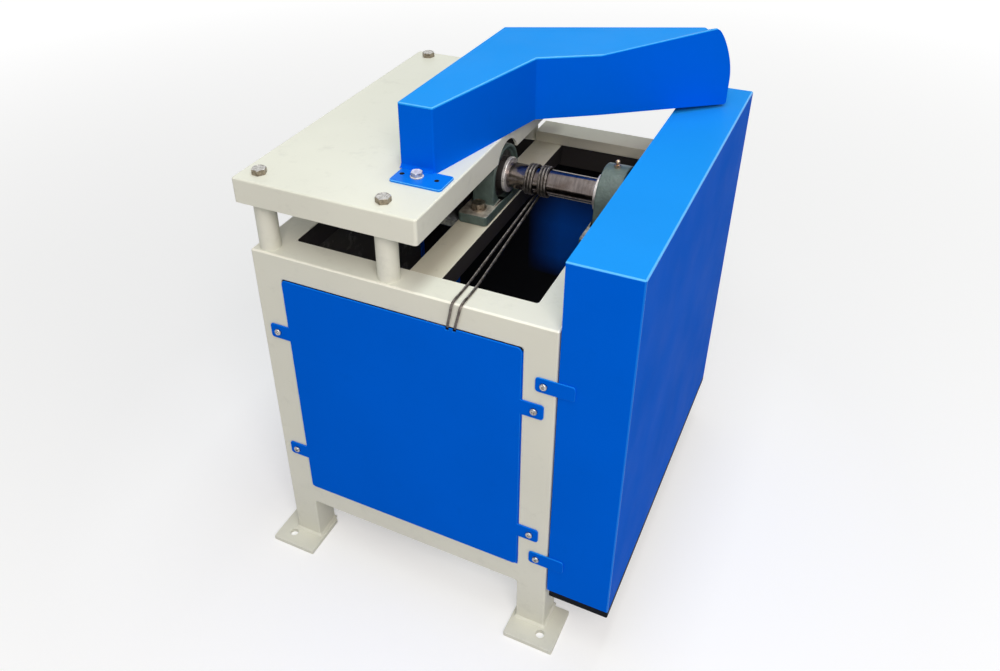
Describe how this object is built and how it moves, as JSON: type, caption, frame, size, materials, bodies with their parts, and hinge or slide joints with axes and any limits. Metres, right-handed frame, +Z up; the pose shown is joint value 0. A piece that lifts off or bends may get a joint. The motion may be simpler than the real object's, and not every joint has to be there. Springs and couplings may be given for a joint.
{
  "type": "bamboo knot removing machine",
  "caption": "Floor machine that trims bamboo knots with a rotary cutter under a sheet hood beside a work table, driven by belts behind a guard on a welded tube frame.",
  "frame": {"origin": "on the floor, midway between the four anchor holes in the foot plates", "axes": "+X along the spindle towards the belt guard, +Y away from the front panel, +Z up"},
  "size_m": [0.761, 0.82, 1.0549],
  "materials": {
    "frame_paint": "satin ivory enamel",
    "cover_paint": "satin blue enamel",
    "casting_paint": "grey green casting paint",
    "motor_paint": "satin grey enamel",
    "base_black": "matt black",
    "screw_steel": "zinc plated",
    "bearing_steel": "ground and oiled",
    "spindle_steel": "turned and oiled",
    "knife_steel": "ground",
    "pulley_iron": "turned casting",
    "belt_rubber": "matt",
    "black_plastic": "matt",
    "nipple_brass": "dull",
    "wire_iron": "annealed iron"
  },
  "bodies": {
    "frame": {"leg_front_left": "frame_paint", "leg_front_right": "frame_paint", "leg_rear_left": "frame_paint", "leg_rear_right": "frame_paint", "foot_plate_front_left": "frame_paint", "foot_plate_front_right": "frame_paint", "foot_plate_rear_left": "frame_paint", "foot_plate_rear_right": "frame_paint", "top_rail_front": "frame_paint", "top_rail_rear": "frame_paint", "top_rail_left": "frame_paint", "top_rail_right": "frame_paint", "bottom_rail_front": "frame_paint", "bottom_rail_rear": "frame_paint", "bottom_rail_left": "frame_paint", "bottom_rail_right": "frame_paint", "bearing_rail": "frame_paint", "rear_ledge": "frame_paint", "front_panel": "cover_paint", "left_panel": "cover_paint", "rear_panel": "cover_paint", "cover_screws": "screw_steel", "work_table": "frame_paint", "table_post_front_left": "frame_paint", "table_post_front_right": "frame_paint", "table_post_rear_left": "frame_paint", "table_post_rear_right": "frame_paint", "table_bolts": "screw_steel", "bearing_housing_left": "casting_paint", "bearing_housing_right": "casting_paint", "bearing_outer_ring_left": "bearing_steel", "bearing_outer_ring_right": "bearing_steel", "grease_nipples": "nipple_brass", "bearing_bolts": "screw_steel", "drive_belts": "belt_rubber", "motor_housing": "motor_paint", "motor_shield_drive": "motor_paint", "motor_shield_fan": "motor_paint", "motor_fan_cover": "motor_paint", "motor_terminal_box": "motor_paint", "motor_gland": "black_plastic", "motor_plate": "frame_paint", "motor_bolts": "screw_steel", "belt_guard": "cover_paint", "guard_base_strip": "base_black", "hood": "cover_paint", "hood_bolt": "screw_steel", "tie_wire": "wire_iron"},
    "spindle": {"spindle": "spindle_steel", "spindle_nut": "screw_steel", "bearing_inner_ring_left": "bearing_steel", "bearing_inner_ring_right": "bearing_steel", "cutter_head": "spindle_steel", "cutter_knives": "knife_steel", "knife_screws": "screw_steel", "spindle_pulley": "pulley_iron"},
    "rotor": {"motor_rotor": "spindle_steel", "motor_fan": "black_plastic", "motor_pulley": "pulley_iron"}
  },
  "joints": [
    {"name": "spindle_turn", "type": "hinge", "parent": "frame", "child": "spindle", "pos_m": [0, 0.005, 0.82], "axis": [1, 0, 0], "continuous": true},
    {"name": "motor_turn", "type": "hinge", "parent": "frame", "child": "rotor", "pos_m": [0, 0.005, 0.283], "axis": [1, 0, 0], "continuous": true}
  ],
  "couplings": [
    {"joint": "motor_turn", "follows": "spindle_turn", "ratio": 0.73333}
  ]
}
